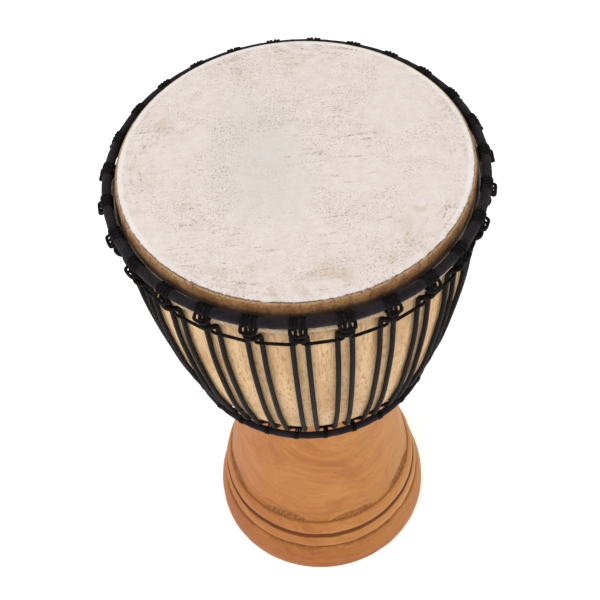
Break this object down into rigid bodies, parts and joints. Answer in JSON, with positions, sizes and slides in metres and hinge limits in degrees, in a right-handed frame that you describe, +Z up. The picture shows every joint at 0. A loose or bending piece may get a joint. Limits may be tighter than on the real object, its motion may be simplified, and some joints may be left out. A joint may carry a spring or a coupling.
{
  "type": "djembe",
  "caption": "Rope-tuned goblet drum: carved wooden shell, goatskin head held by cloth-wrapped steel hoops, loop cords and one long laced tension rope",
  "frame": {"origin": "centre of the foot on the floor", "axes": "+Z up along the drum's axis to the playing surface, -Y to the front, +X to the right"},
  "size_m": [0.361, 0.3615, 0.6],
  "materials": {
    "shell_wood": "carved hardwood, oiled, grain visible",
    "goatskin": "shaved goatskin, matt, mottled",
    "hoop_steel": "plain welded round bar",
    "hoop_cloth": "black cotton strip, matt",
    "loop_cord": "black braided polyester",
    "tension_rope": "black braided polyester, slight sheen"
  },
  "bodies": {
    "drum": {"shell": "shell_wood", "goatskin_head": "goatskin", "low_ring": "hoop_steel", "low_ring_cloth": "hoop_cloth", "low_loop_cord": "loop_cord", "low_cord_knot": "loop_cord", "tension_rope": "tension_rope", "rope_knot": "tension_rope"},
    "tuning_hoops": {"crown_ring": "hoop_steel", "crown_ring_cloth": "hoop_cloth", "flesh_hoop": "hoop_steel", "crown_loop_cord": "loop_cord", "crown_cord_knot": "loop_cord"}
  },
  "joints": [
    {"name": "head_tuning", "type": "slide", "parent": "drum", "child": "tuning_hoops", "axis": [0, 0, -1], "range_m": [0, 0.006], "deforming": ["goatskin_head", "tension_rope"]}
  ]
}
